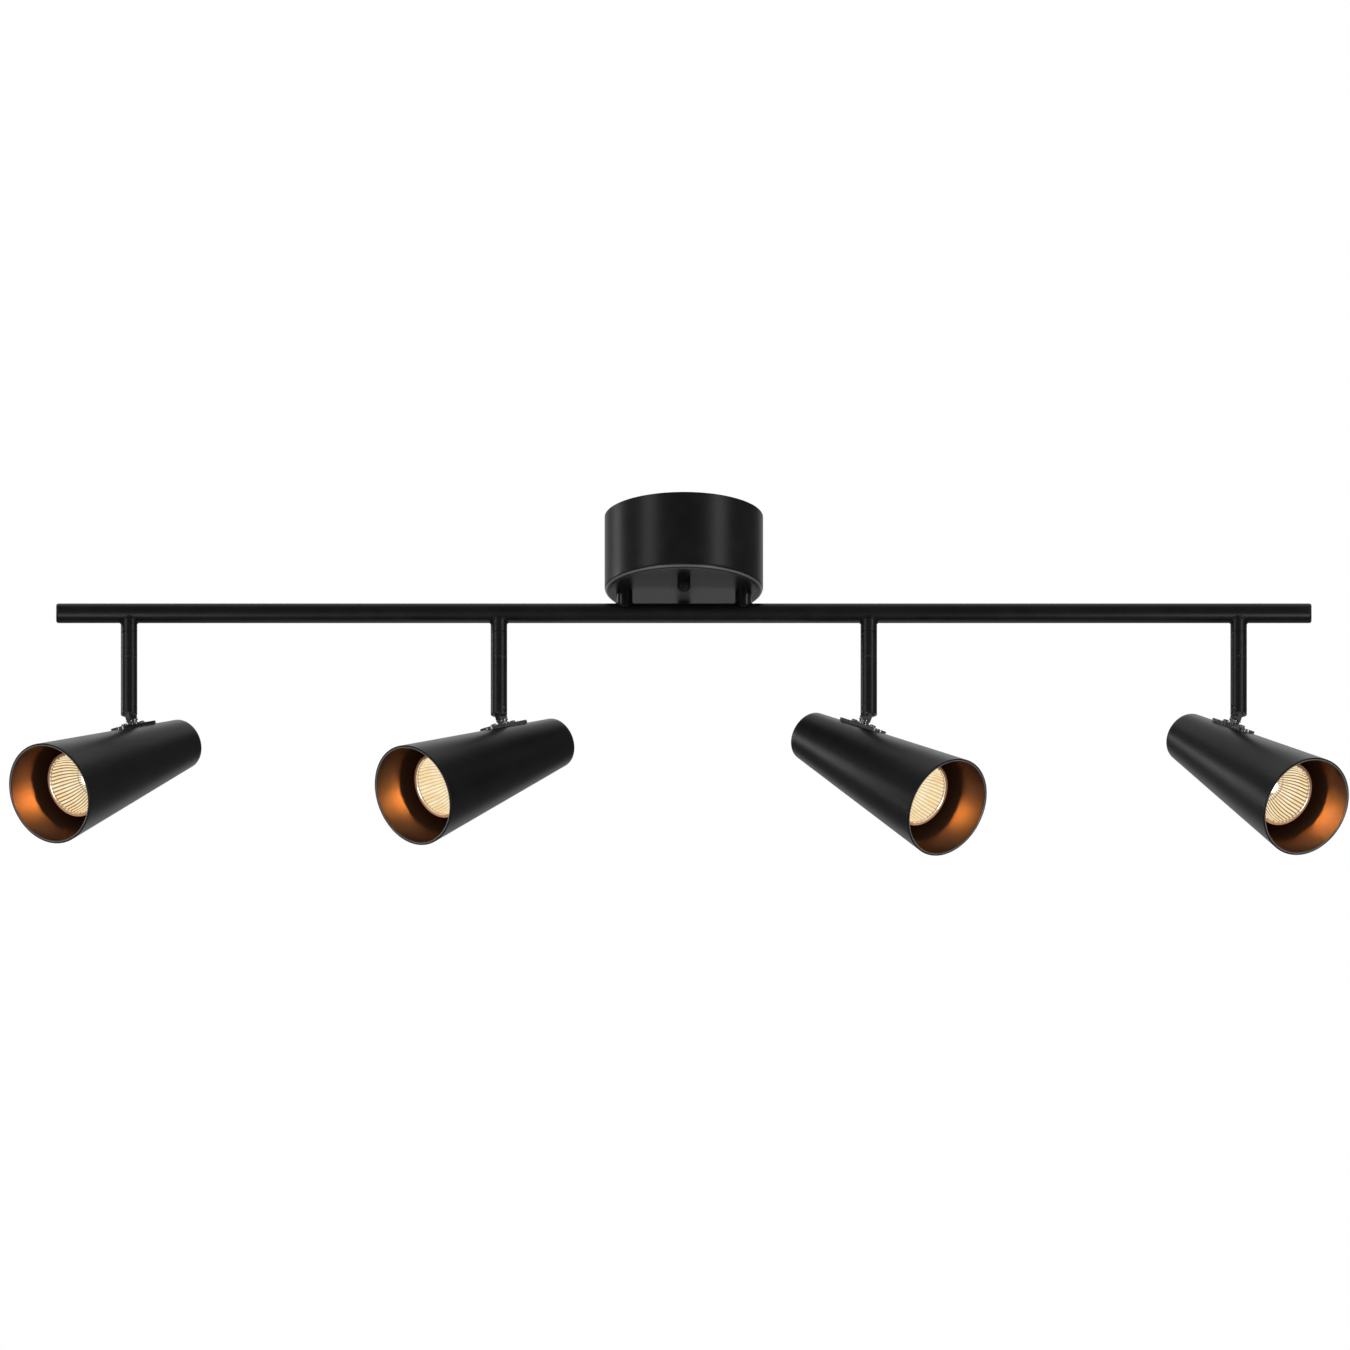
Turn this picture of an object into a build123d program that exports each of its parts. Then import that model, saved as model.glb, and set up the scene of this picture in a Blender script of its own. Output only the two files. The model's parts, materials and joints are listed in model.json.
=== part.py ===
"""Four-lamp ceiling spotlight bar.

A round canopy hangs from a junction box strap and carries a straight tube on
two short posts.  Four stems hang from the tube.  Each stem turns on a fixed
saddle (pan) and ends in a fork that holds the knuckle of a conical shade
(tilt).  Millimetres, +Z up, +X along the bar.  The origin is the centre of
the ceiling plane, between the two junction box screws.
"""
from build123d import *
import os
from math import cos, radians, sin, sqrt, tan

os.makedirs("parts", exist_ok=True)

# ---------------------------------------------------------------- dimensions
# canopy, hung from the ceiling plane at Z = 0
canopy_radius = 60.0
canopy_height = 60.0
canopy_wall = 1.2
canopy_edge_radius = 4.0
canopy_floor = -canopy_height

# cross strap: upper bar on the junction box, lower bar for the canopy studs
box_strap_length = 110.0
box_strap_width = 20.0
strap_thickness = 2.0
box_screw_spacing = 88.9
box_slot_length = 12.0
box_slot_width = 5.0
canopy_strap_length = 90.0
canopy_strap_width = 16.0
eyelet_radius = 6.5
eyelet_bore_radius = 5.2
eyelet_flange_radius = 8.5
eyelet_flange = 0.8
eyelet_flare = 1.0
earth_screw_x = 25.0
earth_shank_radius = 2.0
earth_head_radius = 4.0
earth_head_height = 2.6
screw_slot_width = 1.0
screw_slot_depth = 0.9

# studs and the fluted cap nuts that pull the canopy up
stud_radius = 2.0
stud_y = 34.925
stud_top = -1.0
stud_bottom = -67.0
finial_radius = 5.0
finial_height = 10.0
finial_bore_depth = 8.0
finial_flutes = 10
finial_flute_radius = 0.75
finial_collar_height = 2.4
finial_chamfer = 1.0

# three-pole terminal block under the canopy strap
terminal_poles = 3
terminal_pitch = 8.0
terminal_depth = 17.0
terminal_height = 15.0
terminal_y = -21.5
terminal_screw_offset = 4.6
terminal_screw_radius = 1.6
terminal_screw_length = 6.0
terminal_wire_radius = 1.9
terminal_wire_height = 5.0
terminal_edge = 1.0

# posts between the canopy and the bar
post_x = 45.0
post_radius = 6.2
post_thread_radius = 5.0
post_thread_height = 10.0
post_bore_radius = 3.0
post_nut_flats = 14.0
post_nut_height = 4.0

# bar
bar_radius = 7.5
bar_wall = 1.2
bar_half_length = 475.2
bar_cap_head = 3.4
bar_cap_rounding = 1.8
bar_cap_plug_length = 8.0
bar_cap_plug_clearance = 0.1
bar_z = -76.8

# stems, turning on fixed saddles
stem_radius = 6.25
saddle_drop = 15.8
saddle_shank_radius = 4.0
saddle_shank_length = 12.0
saddle_thread_radius = 3.2
saddle_thread_length = 4.0
saddle_bore_radius = 2.0
running_clearance = 0.05
swivel_gap = 0.3
retainer_radius = 5.0
retainer_height = 3.2
collar_drop = 36.0
collar_counterbore_radius = 5.3
stem_drop = 81.3
stem_spigot_length = 3.6
stem_bore_radius = 3.6
stem_bore_end_above_pin = 10.0
stem_end_rounding = 0.6

# tilt knuckle at the fork of the stem
pin_drop = 76.2
pin_radius = 1.5
pin_head_radius = 2.6
pin_head_height = 1.0
pin_head_pocket_radius = 2.8
pin_head_seat = 4.9
pin_end = 5.5
fork_slot_width = 4.8
fork_slot_above_pin = 4.9
fork_slot_front = 4.95
tongue_thickness = 4.6
tongue_half_width = 4.0
tongue_length = 8.3
neck_bead_radius = 4.6
neck_waist_radius = 3.9
neck_foot_radius = 5.2
knuckle_thread_radius = 3.0
knuckle_thread_length = 6.4

# conical shade: its axis runs along the head's x, below the tilt pin
shade_front_radius = 39.0
shade_tail_radius = 18.75
shade_length = 163.8
shade_wall = 1.2
shade_tail_rounding = 3.0
shade_lip_rounding = 0.4
axis_below_pin = 39.0
pin_from_tail = 46.2

# mounting plate on top of the shade
plate_length = 46.0
plate_width = 12.0
plate_thickness = 1.8
plate_edge_rounding = 0.4
plate_screw_x = 10.0
plate_screw_radius = 1.5
plate_screw_head_radius = 2.4
plate_screw_head_height = 1.9
plate_screw_length = 6.2
plate_recess_width = 0.7

# lampholder and its bracket, placed by their distance from the shade's tail
bracket_start = 32.0
bracket_end = 62.0
bracket_width = 11.0
bracket_thickness = 2.5
bracket_tongue_below_axis = 9.0
holder_radius = 13.0
holder_length = 26.0
holder_chamfer = 1.5
lamp_pin_spacing = 10.0
lamp_pin_radius = 1.3
lamp_pin_head_radius = 2.4
lamp_pin_length = 7.0
lamp_pin_hole_radius = 2.6
lamp_pin_hole_depth = 9.0

# reflector lamp with a 50 mm face
lamp_face_from_tail = 134.4
lamp_radius = 25.0
lamp_rim_length = 3.0
lamp_glass_wall = 1.6
lamp_base_radius = 10.0
lamp_base_length = 14.0
lamp_throat_radius = 6.0
lamp_lens_radius = 23.2
lamp_lens_thickness = 2.4
lamp_lens_inset = 0.4

# the four heads: stem place, side that the head faces, pan and tilt at rest
heads = [
    {"x": -420.0, "side": -1, "pan": 44.2, "tilt": 27.3},
    {"x": -140.0, "side": -1, "pan": 48.6, "tilt": 27.2},
    {"x": 140.0, "side": 1, "pan": 49.4, "tilt": 32.4},
    {"x": 420.0, "side": 1, "pan": 41.9, "tilt": 33.4},
]

# ------------------------------------------------------------ derived values
stem_places = [head["x"] for head in heads]
saddle_bottom = -saddle_drop
shank_bottom = saddle_bottom - saddle_shank_length
thread_bottom = shank_bottom - saddle_thread_length
cone_slope = (shade_front_radius - shade_tail_radius) / shade_length
cone_cosine = 1 / sqrt(1 + cone_slope**2)
cone_sine = cone_slope * cone_cosine
shade_tail_x = -pin_from_tail
shade_front_x = shade_tail_x + shade_length
foot_drop = axis_below_pin - shade_tail_radius - pin_from_tail * cone_slope
plate_bottom_drop = foot_drop * cone_cosine
plate_top_drop = plate_bottom_drop - plate_thickness


def shade_radius(from_tail):
    """Outer radius of the cone at a distance from its tail."""
    return shade_tail_radius + from_tail * cone_slope


# Frames inside one head.  All of them pass through the tilt pin: the knuckle
# frame leans with the cone's top line, so that its z stands on the plate.
shade_side = Plane.XZ
knuckle_frame = Plane(
    origin=(0, 0, 0),
    x_dir=(cone_cosine, 0, cone_sine),
    z_dir=(-cone_sine, 0, cone_cosine),
)
shade_axis = Axis((0, 0, -axis_below_pin), (1, 0, 0))


def finish(part, name, place=Location()):
    """Move a finished piece to its place, label it and write its file."""
    piece = part.moved(place)
    piece.label = name
    export_step(piece, f"parts/{name}.step")


# ------------------------------------------------------- ceiling cross strap
with BuildPart() as box_strap:
    with BuildSketch(Plane.XY.offset(-strap_thickness)):
        RectangleRounded(box_strap_length, box_strap_width, 3.0)
        with GridLocations(box_screw_spacing, 0, 2, 1):
            SlotOverall(box_slot_length, box_slot_width, mode=Mode.SUBTRACT)
        Circle(eyelet_radius, mode=Mode.SUBTRACT)
        with Locations((earth_screw_x, 0)):
            Circle(earth_shank_radius, mode=Mode.SUBTRACT)
    extrude(amount=strap_thickness)
    eyelet_mouth = box_strap.edges().filter_by(GeomType.CIRCLE).group_by(Axis.Z)[-1]
    eyelet_mouth = eyelet_mouth.filter_by(lambda edge: abs(edge.radius - eyelet_radius) < 0.01)
    chamfer(eyelet_mouth, eyelet_flare)
box_strap.part.label = "box_strap"
export_step(box_strap.part, "parts/box_strap.step")

with BuildPart() as canopy_strap:
    with BuildSketch(Plane.XY.offset(-2 * strap_thickness)):
        RectangleRounded(canopy_strap_width, canopy_strap_length, 3.0)
        with GridLocations(0, 2 * stud_y, 1, 2):
            Circle(stud_radius, mode=Mode.SUBTRACT)
        Circle(eyelet_radius, mode=Mode.SUBTRACT)
    extrude(amount=strap_thickness)
canopy_strap.part.label = "canopy_strap"
export_step(canopy_strap.part, "parts/canopy_strap.step")

# The tubular rivet holds the two bars together and lets the supply cable in.
with BuildPart() as strap_eyelet:
    with BuildSketch(Plane.XZ):
        with BuildLine():
            Polyline(
                (eyelet_bore_radius, 0),
                (eyelet_radius + eyelet_flare, 0),
                (eyelet_radius, -eyelet_flare),
                (eyelet_radius, -2 * strap_thickness),
                (eyelet_flange_radius, -2 * strap_thickness),
                (eyelet_flange_radius, -2 * strap_thickness - eyelet_flange),
                (eyelet_bore_radius, -2 * strap_thickness - eyelet_flange),
                close=True,
            )
        make_face()
    revolve(axis=Axis.Z)
strap_eyelet.part.label = "strap_eyelet"
export_step(strap_eyelet.part, "parts/strap_eyelet.step")

with BuildPart() as earth_screw:
    with BuildSketch(Plane.XY.offset(-strap_thickness)):
        with Locations((earth_screw_x, 0)):
            Circle(earth_shank_radius)
    extrude(amount=strap_thickness)
    with BuildSketch(Plane.XY.offset(-strap_thickness - earth_head_height)):
        with Locations((earth_screw_x, 0)):
            Circle(earth_head_radius)
    extrude(amount=earth_head_height)
    head_rim = earth_screw.edges().filter_by(GeomType.CIRCLE).sort_by(Axis.Z)[0]
    fillet(head_rim, earth_head_height / 3)
    with BuildSketch(Plane.XY.offset(-strap_thickness - earth_head_height)):
        with Locations((earth_screw_x, 0)):
            Rectangle(3 * earth_head_radius, screw_slot_width)
    extrude(amount=screw_slot_depth, mode=Mode.SUBTRACT)
earth_screw.part.label = "earth_screw"
export_step(earth_screw.part, "parts/earth_screw.step")

# -------------------------------------------------------------------- canopy
with BuildPart() as canopy_cup:
    with BuildSketch(Plane.XY.offset(canopy_floor)):
        Circle(canopy_radius)
    extrude(amount=canopy_height)
    fillet(canopy_cup.edges().sort_by(Axis.Z)[0], canopy_edge_radius)
    offset(amount=-canopy_wall, openings=canopy_cup.faces().sort_by(Axis.Z)[-1])
    with BuildSketch(Plane.XY.offset(canopy_floor)):
        with GridLocations(2 * post_x, 0, 2, 1):
            Circle(post_thread_radius)
        with GridLocations(0, 2 * stud_y, 1, 2):
            Circle(stud_radius + 0.2)
    extrude(amount=2 * canopy_wall, mode=Mode.SUBTRACT)
canopy_cup.part.label = "canopy_cup"
export_step(canopy_cup.part, "parts/canopy_cup.step")

with BuildPart() as canopy_studs:
    with BuildSketch(Plane.XY.offset(stud_bottom)):
        with GridLocations(0, 2 * stud_y, 1, 2):
            Circle(stud_radius)
    extrude(amount=stud_top - stud_bottom)
    chamfer(canopy_studs.edges().group_by(Axis.Z)[0], stud_radius / 4)
canopy_studs.part.label = "canopy_studs"
export_step(canopy_studs.part, "parts/canopy_studs.step")

# Each cap nut has a plain collar under the canopy and flutes to grip below it.
with BuildPart() as finial_nuts:
    with BuildSketch(Plane.XY.offset(canopy_floor - finial_height)):
        with GridLocations(0, 2 * stud_y, 1, 2):
            Circle(finial_radius)
    extrude(amount=finial_height)
    chamfer(finial_nuts.edges().group_by(Axis.Z)[0], finial_chamfer)
    with BuildSketch(Plane.XY.offset(canopy_floor - finial_height)):
        with GridLocations(0, 2 * stud_y, 1, 2):
            with PolarLocations(finial_radius, finial_flutes):
                Circle(finial_flute_radius)
    extrude(amount=finial_height - finial_collar_height, mode=Mode.SUBTRACT)
    with BuildSketch(Plane.XY.offset(canopy_floor - finial_bore_depth)):
        with GridLocations(0, 2 * stud_y, 1, 2):
            Circle(stud_radius)
    extrude(amount=finial_bore_depth, mode=Mode.SUBTRACT)
finial_nuts.part.label = "finial_nuts"
export_step(finial_nuts.part, "parts/finial_nuts.step")

# ------------------------------------------------------------ terminal block
terminal_top = -2 * strap_thickness
terminal_bottom = terminal_top - terminal_height
terminal_width = terminal_poles * terminal_pitch
terminal_screw_bottom = terminal_bottom + 0.6
with BuildPart() as terminal_block:
    with BuildSketch(Plane.XY.offset(terminal_bottom)):
        with Locations((0, terminal_y)):
            Rectangle(terminal_width, terminal_depth)
    extrude(amount=terminal_height)
    fillet(terminal_block.edges().group_by(Axis.Z)[0], terminal_edge)
    # grooves between the poles
    with BuildSketch(Plane.XY.offset(terminal_bottom)):
        with Locations((0, terminal_y)):
            with GridLocations(terminal_pitch, 0, terminal_poles - 1, 1):
                Rectangle(terminal_edge, 2 * terminal_depth)
    extrude(amount=2 * terminal_edge, mode=Mode.SUBTRACT)
    # screw wells from below and a wire way through each pole
    with BuildSketch(Plane.XY.offset(terminal_bottom)):
        with Locations((0, terminal_y)):
            with GridLocations(terminal_pitch, 2 * terminal_screw_offset, terminal_poles, 2):
                Circle(terminal_screw_radius)
    extrude(amount=terminal_screw_length + 0.6, mode=Mode.SUBTRACT)
    with BuildSketch(Plane.XZ.offset(-terminal_y - terminal_depth)):
        with Locations((0, terminal_top - terminal_wire_height)):
            with GridLocations(terminal_pitch, 0, terminal_poles, 1):
                Circle(terminal_wire_radius)
    extrude(amount=2 * terminal_depth, mode=Mode.SUBTRACT)
terminal_block.part.label = "terminal_block"
export_step(terminal_block.part, "parts/terminal_block.step")

with BuildPart() as terminal_screws:
    with BuildSketch(Plane.XY.offset(terminal_screw_bottom)):
        with Locations((0, terminal_y)):
            with GridLocations(terminal_pitch, 2 * terminal_screw_offset, terminal_poles, 2):
                Circle(terminal_screw_radius)
    extrude(amount=terminal_screw_length)
    with BuildSketch(Plane.XY.offset(terminal_screw_bottom)):
        with Locations((0, terminal_y)):
            with GridLocations(terminal_pitch, 2 * terminal_screw_offset, terminal_poles, 2):
                Rectangle(3 * terminal_screw_radius, screw_slot_width / 2)
    extrude(amount=screw_slot_depth, mode=Mode.SUBTRACT)
terminal_screws.part.label = "terminal_screws"
export_step(terminal_screws.part, "parts/terminal_screws.step")

# --------------------------------------------------------------------- posts
# The foot of each post is cut to the bar's round side and brazed to it.
with BuildPart() as canopy_posts:
    with BuildSketch(Plane.XY.offset(bar_z)):
        with GridLocations(2 * post_x, 0, 2, 1):
            Circle(post_radius)
    extrude(amount=canopy_floor - bar_z)
    with BuildSketch(Plane.XY.offset(canopy_floor)):
        with GridLocations(2 * post_x, 0, 2, 1):
            Circle(post_thread_radius)
    extrude(amount=post_thread_height)
    with BuildSketch(Plane.XY.offset(bar_z)):
        with GridLocations(2 * post_x, 0, 2, 1):
            Circle(post_bore_radius)
    extrude(amount=canopy_floor - bar_z + post_thread_height, mode=Mode.SUBTRACT)
    with BuildSketch(Plane.YZ.offset(-bar_half_length)):
        with Locations((0, bar_z)):
            Circle(bar_radius)
    extrude(amount=2 * bar_half_length, mode=Mode.SUBTRACT)
canopy_posts.part.label = "canopy_posts"
export_step(canopy_posts.part, "parts/canopy_posts.step")

with BuildPart() as post_nuts:
    with BuildSketch(Plane.XY.offset(canopy_floor + canopy_wall)):
        with GridLocations(2 * post_x, 0, 2, 1):
            RegularPolygon(post_nut_flats / 2, 6, major_radius=False)
            Circle(post_thread_radius, mode=Mode.SUBTRACT)
    extrude(amount=post_nut_height)
post_nuts.part.label = "post_nuts"
export_step(post_nuts.part, "parts/post_nuts.step")

# ----------------------------------------------------------------------- bar
bar_tube_half = bar_half_length - bar_cap_head
bar_bore_radius = bar_radius - bar_wall
with BuildPart() as bar_tube:
    with BuildSketch(Plane.YZ.offset(-bar_tube_half)):
        with Locations((0, bar_z)):
            Circle(bar_radius)
            Circle(bar_bore_radius, mode=Mode.SUBTRACT)
    extrude(amount=2 * bar_tube_half)
    # wire ways up into the posts and down into the stems
    with BuildSketch(Plane.XY.offset(bar_z)):
        with GridLocations(2 * post_x, 0, 2, 1):
            Circle(post_bore_radius)
    extrude(amount=bar_radius, mode=Mode.SUBTRACT)
    with BuildSketch(Plane.XY.offset(bar_z - bar_radius)):
        with Locations([(place, 0) for place in stem_places]):
            Circle(saddle_bore_radius)
    extrude(amount=bar_radius, mode=Mode.SUBTRACT)
bar_tube.part.label = "bar_tube"
export_step(bar_tube.part, "parts/bar_tube.step")

with BuildPart() as bar_end_caps:
    with BuildSketch(Plane.YZ.offset(bar_tube_half)):
        with Locations((0, bar_z)):
            Circle(bar_radius)
    extrude(amount=bar_cap_head)
    fillet(bar_end_caps.edges().sort_by(Axis.X)[-1], bar_cap_rounding)
    with BuildSketch(Plane.YZ.offset(bar_tube_half - bar_cap_plug_length)):
        with Locations((0, bar_z)):
            Circle(bar_bore_radius - bar_cap_plug_clearance)
    extrude(amount=bar_cap_plug_length)
    mirror(about=Plane.YZ)
bar_end_caps.part.label = "bar_end_caps"
export_step(bar_end_caps.part, "parts/bar_end_caps.step")

# Saddles: a fish-mouthed head brazed to the bar, then a bearing shank and a
# threaded end for the retainer.  Heights below are counted from the bar axis.
with BuildPart() as stem_saddles:
    with BuildSketch(Plane.XY.offset(bar_z + saddle_bottom)):
        with Locations([(place, 0) for place in stem_places]):
            Circle(stem_radius)
    extrude(amount=saddle_drop)
    with BuildSketch(Plane.XY.offset(bar_z + shank_bottom)):
        with Locations([(place, 0) for place in stem_places]):
            Circle(saddle_shank_radius)
    extrude(amount=saddle_shank_length)
    with BuildSketch(Plane.XY.offset(bar_z + thread_bottom)):
        with Locations([(place, 0) for place in stem_places]):
            Circle(saddle_thread_radius)
    extrude(amount=saddle_thread_length)
    with BuildSketch(Plane.XY.offset(bar_z + thread_bottom)):
        with Locations([(place, 0) for place in stem_places]):
            Circle(saddle_bore_radius)
    extrude(amount=-thread_bottom, mode=Mode.SUBTRACT)
    with BuildSketch(Plane.YZ.offset(-bar_half_length)):
        with Locations((0, bar_z)):
            Circle(bar_radius)
    extrude(amount=2 * bar_half_length, mode=Mode.SUBTRACT)
stem_saddles.part.label = "stem_saddles"
export_step(stem_saddles.part, "parts/stem_saddles.step")

with BuildPart() as swivel_retainers:
    with BuildSketch(Plane.XY.offset(bar_z + shank_bottom - retainer_height)):
        with Locations([(place, 0) for place in stem_places]):
            Circle(retainer_radius)
            Circle(saddle_thread_radius, mode=Mode.SUBTRACT)
    extrude(amount=retainer_height)
swivel_retainers.part.label = "swivel_retainers"
export_step(swivel_retainers.part, "parts/swivel_retainers.step")

# Wiring harness: down one post, along the bar and a short drop into each
# saddle.  It leaves the post above the canopy floor and stops at the saddles.
harness_radius = 1.5
harness_bend = 6.0
harness_top = canopy_floor + post_thread_height + 6.0
harness_bottom = bar_z + shank_bottom
with BuildPart() as bar_harness:
    with BuildLine():
        FilletPolyline(
            (stem_places[0], 0, harness_bottom),
            (stem_places[0], 0, bar_z),
            (stem_places[-1], 0, bar_z),
            (stem_places[-1], 0, harness_bottom),
            radius=harness_bend,
        )
    with BuildSketch(Plane.XY.offset(harness_bottom)):
        with Locations((stem_places[0], 0)):
            Circle(harness_radius)
    sweep()
    with BuildSketch(Plane.XY.offset(harness_bottom)):
        with Locations([(place, 0) for place in stem_places[1:-1]]):
            Circle(harness_radius)
    extrude(amount=bar_z - harness_bottom)
    with BuildSketch(Plane.XY.offset(bar_z)):
        with Locations((-post_x, 0)):
            Circle(harness_radius)
    extrude(amount=harness_top - bar_z)
bar_harness.part.label = "bar_harness"
export_step(bar_harness.part, "parts/bar_harness.step")

# ------------------------------------------------- stem, in its own frame
# The stem frame has its origin at the tilt pin, z up along the stem, x the
# way that the head faces and y along the pin.
collar_top = pin_drop + saddle_bottom - swivel_gap
collar_bottom = pin_drop - collar_drop
shoulder_bottom = pin_drop + shank_bottom + swivel_gap
stem_bottom = pin_drop - stem_drop

with BuildPart() as swivel_collar:
    with BuildSketch(Plane.XY.offset(collar_bottom)):
        Circle(stem_radius)
        Circle(saddle_shank_radius + running_clearance, mode=Mode.SUBTRACT)
    extrude(amount=collar_top - collar_bottom)
    with BuildSketch(Plane.XY.offset(collar_bottom)):
        Circle(collar_counterbore_radius)
    extrude(amount=shoulder_bottom - collar_bottom, mode=Mode.SUBTRACT)
    outer_edges = swivel_collar.edges().filter_by(GeomType.CIRCLE)
    outer_edges = outer_edges.filter_by(lambda edge: abs(edge.radius - stem_radius) < 0.01)
    chamfer(outer_edges, 0.3)

with BuildPart() as stem_tube:
    with BuildSketch(Plane.XY.offset(stem_bottom)):
        Circle(stem_radius)
    extrude(amount=collar_bottom - stem_bottom)
    fillet(stem_tube.edges().sort_by(Axis.Z)[0], stem_end_rounding)
    with BuildSketch(Plane.XY.offset(collar_bottom)):
        Circle(collar_counterbore_radius)
    extrude(amount=stem_spigot_length)
    with BuildSketch(Plane.XY.offset(stem_bore_end_above_pin)):
        Circle(stem_bore_radius)
    extrude(amount=collar_bottom + stem_spigot_length, mode=Mode.SUBTRACT)
    # fork slot, open below and behind, with a wire way up into the bore
    with BuildSketch(Plane.XY.offset(stem_bottom)):
        with Locations((fork_slot_front, 0)):
            Rectangle(3 * stem_radius, fork_slot_width, align=(Align.MAX, Align.CENTER))
    extrude(amount=fork_slot_above_pin - stem_bottom, mode=Mode.SUBTRACT)
    with BuildSketch(Plane.XY.offset(fork_slot_above_pin)):
        Circle(saddle_bore_radius)
    extrude(amount=stem_bore_end_above_pin - fork_slot_above_pin, mode=Mode.SUBTRACT)
    # cross hole and the pocket of the pivot screw's head
    with BuildSketch(Plane.XZ.offset(-stem_radius)):
        Circle(pin_radius)
    extrude(amount=2 * stem_radius, mode=Mode.SUBTRACT)
    with BuildSketch(Plane.XZ.offset(pin_head_seat)):
        Circle(pin_head_pocket_radius)
    extrude(amount=stem_radius, mode=Mode.SUBTRACT)

with BuildPart() as pivot_screw:
    with BuildSketch(Plane.XZ.offset(-pin_end)):
        Circle(pin_radius)
    extrude(amount=pin_end + pin_head_seat)
    with BuildSketch(Plane.XZ.offset(pin_head_seat)):
        Circle(pin_head_radius)
    extrude(amount=pin_head_height)
    head_rim = pivot_screw.edges().filter_by(GeomType.CIRCLE).sort_by(Axis.Y)[0]
    fillet(head_rim, pin_head_height / 2)
    with BuildSketch(Plane.XZ.offset(pin_head_seat + pin_head_height)):
        Rectangle(3 * pin_head_radius, screw_slot_width / 2)
    extrude(amount=-pin_head_height / 2, mode=Mode.SUBTRACT)

# -------------------------------------------------- head, in its own frame
# The head frame has its origin at the tilt pin, x along the shade towards its
# mouth, y along the pin and z square to the shade's axis.
with BuildPart() as knuckle:
    # tongue: a flat eye around the pin
    with BuildSketch(Plane.XZ.offset(-tongue_thickness / 2)):
        with BuildLine():
            reach = knuckle_frame.from_local_coords((0, 0, -tongue_length))
            side = Vector(cone_cosine, 0, cone_sine) * tongue_half_width
            left_low = reach - side
            right_low = reach + side
            left_top = Vector(0, 0, 0) - side
            right_top = Vector(0, 0, 0) + side
            crown = knuckle_frame.from_local_coords((0, 0, tongue_half_width))
            Line((left_top.X, left_top.Z), (left_low.X, left_low.Z))
            Line((left_low.X, left_low.Z), (right_low.X, right_low.Z))
            Line((right_low.X, right_low.Z), (right_top.X, right_top.Z))
            ThreePointArc(
                (right_top.X, right_top.Z),
                (crown.X, crown.Z),
                (left_top.X, left_top.Z),
            )
        make_face()
        Circle(pin_radius + running_clearance, mode=Mode.SUBTRACT)
    extrude(amount=tongue_thickness)
    # turned neck, foot flange and threaded end, along the knuckle's own z
    with BuildSketch(knuckle_frame * Plane.XZ):
        with BuildLine():
            Polyline(
                (0, -tongue_length),
                (tongue_half_width, -tongue_length),
                (neck_bead_radius, -tongue_length - 0.5),
                (neck_bead_radius, -tongue_length - 1.3),
                (neck_waist_radius, -tongue_length - 1.9),
                (neck_waist_radius, -tongue_length - 2.6),
                (neck_foot_radius, -plate_top_drop + 0.9),
                (neck_foot_radius, -plate_top_drop),
                (knuckle_thread_radius, -plate_top_drop),
                (knuckle_thread_radius, -plate_top_drop - knuckle_thread_length),
                (0, -plate_top_drop - knuckle_thread_length),
                close=True,
            )
        make_face()
    revolve(axis=Axis((0, 0, 0), knuckle_frame.z_dir))

with BuildPart() as mounting_plate:
    with BuildSketch(knuckle_frame.offset(-plate_bottom_drop - 2)):
        SlotOverall(plate_length, plate_width)
        Circle(knuckle_thread_radius + 0.1, mode=Mode.SUBTRACT)
        with GridLocations(2 * plate_screw_x, 0, 2, 1):
            Circle(plate_screw_radius + 0.1, mode=Mode.SUBTRACT)
    extrude(amount=plate_thickness + 2)
    # underside shaped to the cone
    with BuildSketch(Plane.XZ):
        with BuildLine():
            Polyline(
                (shade_tail_x, -axis_below_pin),
                (shade_tail_x, -axis_below_pin + shade_tail_radius),
                (shade_front_x, -axis_below_pin + shade_front_radius),
                (shade_front_x, -axis_below_pin),
                close=True,
            )
        make_face()
    revolve(axis=shade_axis, mode=Mode.SUBTRACT)

with BuildPart() as plate_screws:
    for place in (-plate_screw_x, plate_screw_x):
        with BuildSketch(knuckle_frame.offset(-plate_top_drop)):
            with Locations((place, 0)):
                Circle(plate_screw_head_radius)
        extrude(amount=plate_screw_head_height)
        with BuildSketch(knuckle_frame.offset(-plate_top_drop - plate_screw_length)):
            with Locations((place, 0)):
                Circle(plate_screw_radius)
        extrude(amount=plate_screw_length)
    head_rims = plate_screws.edges().filter_by(GeomType.CIRCLE)
    head_rims = head_rims.sort_by(Axis((0, 0, 0), knuckle_frame.z_dir))[-2:]
    fillet(head_rims, plate_screw_head_height / 2)
    with BuildSketch(knuckle_frame.offset(-plate_top_drop + plate_screw_head_height)):
        with GridLocations(2 * plate_screw_x, 0, 2, 1):
            Rectangle(plate_screw_head_radius, plate_recess_width)
            Rectangle(plate_recess_width, plate_screw_head_radius)
    extrude(amount=-screw_slot_depth, mode=Mode.SUBTRACT)

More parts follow.
